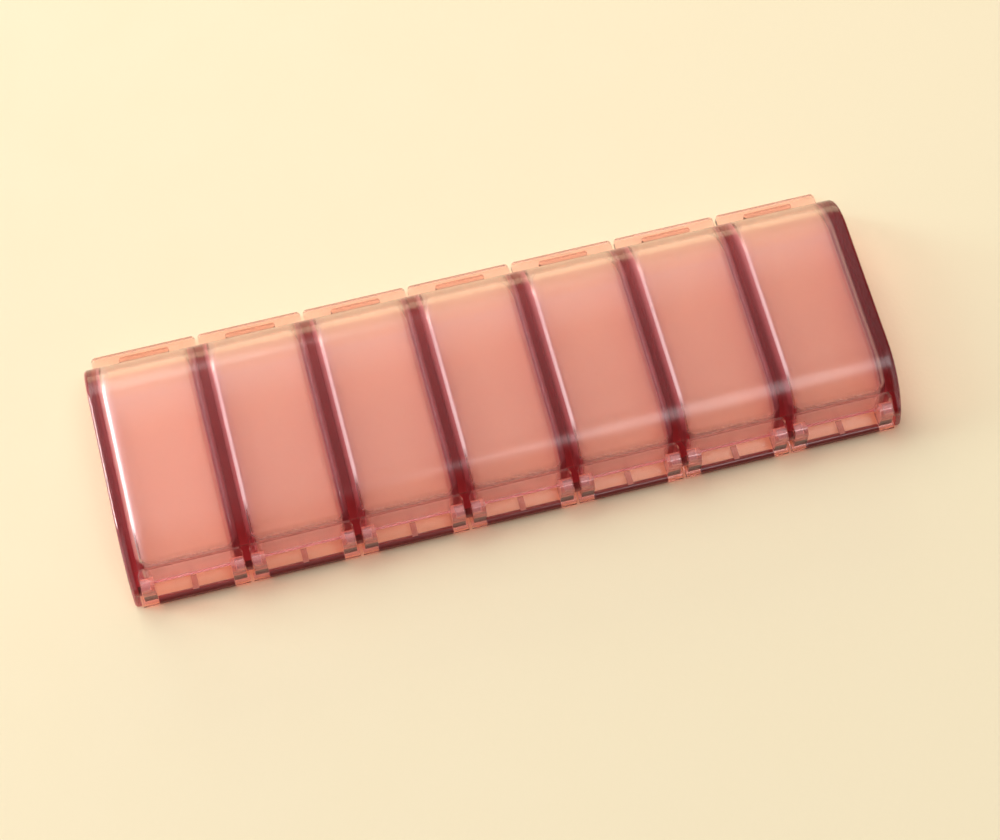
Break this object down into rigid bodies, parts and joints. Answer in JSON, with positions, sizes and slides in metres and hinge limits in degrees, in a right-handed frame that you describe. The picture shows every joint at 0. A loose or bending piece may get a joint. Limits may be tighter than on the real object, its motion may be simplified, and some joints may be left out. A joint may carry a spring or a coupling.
{
  "type": "weekly pill box",
  "caption": "Flat translucent pill box: a rounded tray divided into a row of pockets, each closed by its own hinged lid with a finger tab.",
  "frame": {"origin": "middle of the box in plan, at the level of the lids' flat outer faces, on which it lies in the picture", "axes": "+X along the row of pockets, +Y from the hinges to the finger tabs, +Z out of the tray's bottom, so the stored part lies on its lids"},
  "size_m": [0.1994, 0.0702, 0.0161],
  "materials": {
    "tinted_clear_plastic": "smooth see-through moulded plastic, frosted inside the pockets"
  },
  "bodies": {
    "tray": {"tray": "tinted_clear_plastic"},
    "lid_1": {"lid_1": "tinted_clear_plastic"},
    "lid_2": {"lid_2": "tinted_clear_plastic"},
    "lid_3": {"lid_3": "tinted_clear_plastic"},
    "lid_4": {"lid_4": "tinted_clear_plastic"},
    "lid_5": {"lid_5": "tinted_clear_plastic"},
    "lid_6": {"lid_6": "tinted_clear_plastic"},
    "lid_7": {"lid_7": "tinted_clear_plastic"}
  },
  "joints": [
    {"name": "lid_1_hinge", "type": "hinge", "parent": "tray", "child": "lid_1", "pos_m": [-0.084, -0.0321, 0.0068], "axis": [-1, 0, 0], "range_deg": [0, 172]},
    {"name": "lid_2_hinge", "type": "hinge", "parent": "tray", "child": "lid_2", "pos_m": [-0.056, -0.0321, 0.0068], "axis": [-1, 0, 0], "range_deg": [0, 172]},
    {"name": "lid_3_hinge", "type": "hinge", "parent": "tray", "child": "lid_3", "pos_m": [-0.028, -0.0321, 0.0068], "axis": [-1, 0, 0], "range_deg": [0, 172]},
    {"name": "lid_4_hinge", "type": "hinge", "parent": "tray", "child": "lid_4", "pos_m": [0, -0.0321, 0.0068], "axis": [-1, 0, 0], "range_deg": [0, 172]},
    {"name": "lid_5_hinge", "type": "hinge", "parent": "tray", "child": "lid_5", "pos_m": [0.028, -0.0321, 0.0068], "axis": [-1, 0, 0], "range_deg": [0, 172]},
    {"name": "lid_6_hinge", "type": "hinge", "parent": "tray", "child": "lid_6", "pos_m": [0.056, -0.0321, 0.0068], "axis": [-1, 0, 0], "range_deg": [0, 172]},
    {"name": "lid_7_hinge", "type": "hinge", "parent": "tray", "child": "lid_7", "pos_m": [0.084, -0.0321, 0.0068], "axis": [-1, 0, 0], "range_deg": [0, 172]}
  ]
}
